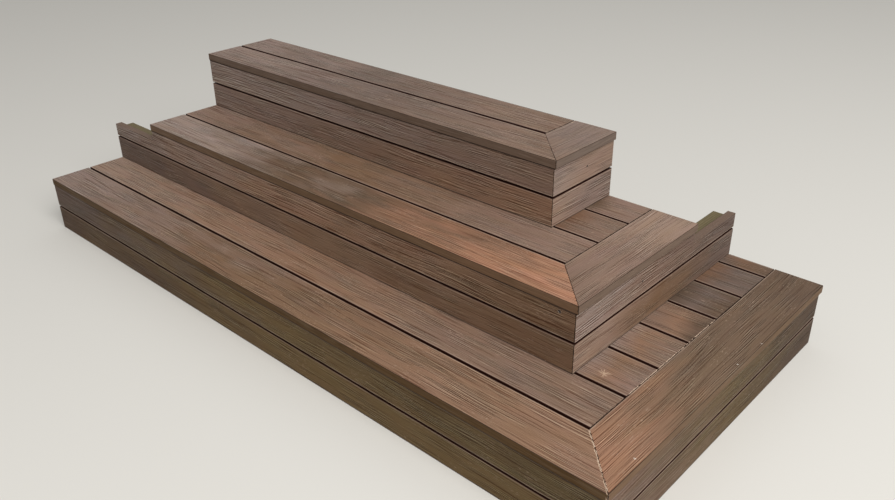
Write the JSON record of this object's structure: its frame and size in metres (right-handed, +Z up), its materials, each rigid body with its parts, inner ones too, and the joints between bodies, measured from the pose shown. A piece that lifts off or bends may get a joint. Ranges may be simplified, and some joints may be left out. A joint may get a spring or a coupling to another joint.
{
  "type": "entry steps",
  "caption": "Composite board entry steps for an inside corner, open at the front and right, with mitred nosings, gapped riser boards and a timber frame.",
  "frame": {"origin": "centre of the whole footprint, at the level the steps stand on", "axes": "+X along the steps to their open right end, +Y back towards the corner they fill, +Z up"},
  "size_m": [2.317, 1.054, 0.57],
  "materials": {
    "nosing_board": "wood-plastic composite board, embossed grain, matt brown",
    "tread_board": "wood-plastic composite board, embossed grain, matt brown",
    "riser_board": "ripped wood-plastic composite board, embossed grain, matt dark brown",
    "frame_timber": "dressed treated pine, greenish straw",
    "clip_nylon": "glass-filled nylon, moulded, matt black",
    "screw_steel": "zinc-coated and stainless steel, dull to satin"
  },
  "bodies": {
    "root": {"bottom_front_bearer": "frame_timber", "bottom_front_nosing": "nosing_board", "bottom_front_riser_lower": "riser_board", "bottom_front_riser_upper": "riser_board", "bottom_joists": "frame_timber", "bottom_rear_bearer": "frame_timber", "bottom_side_nosing": "nosing_board", "bottom_side_riser_lower": "riser_board", "bottom_side_riser_upper": "riser_board", "bottom_tread_board_1": "tread_board", "bottom_tread_board_2": "tread_board", "bottom_tread_board_3": "tread_board", "bottom_tread_board_4": "tread_board", "bottom_tread_board_5": "tread_board", "bottom_tread_board_6": "tread_board", "bottom_tread_board_7": "tread_board", "middle_front_bearer": "frame_timber", "middle_front_nosing": "nosing_board", "middle_front_riser_lower": "riser_board", "middle_front_riser_upper": "riser_board", "middle_front_stub": "frame_timber", "middle_joists": "frame_timber", "middle_rear_bearer": "frame_timber", "middle_side_nosing": "nosing_board", "middle_side_riser_lower": "riser_board", "middle_side_riser_upper": "riser_board", "middle_side_stub": "frame_timber", "middle_tread_board_1": "tread_board", "middle_tread_board_2": "tread_board", "middle_tread_board_3": "tread_board", "top_front_bearer": "frame_timber", "top_front_nosing": "nosing_board", "top_front_riser_lower": "riser_board", "top_front_riser_upper": "riser_board", "top_joists": "frame_timber", "top_rear_bearer": "frame_timber", "top_side_nosing": "nosing_board", "top_side_riser_lower": "riser_board", "top_side_riser_upper": "riser_board", "top_tread_board_1": "tread_board"}
  },
  "joints": []
}
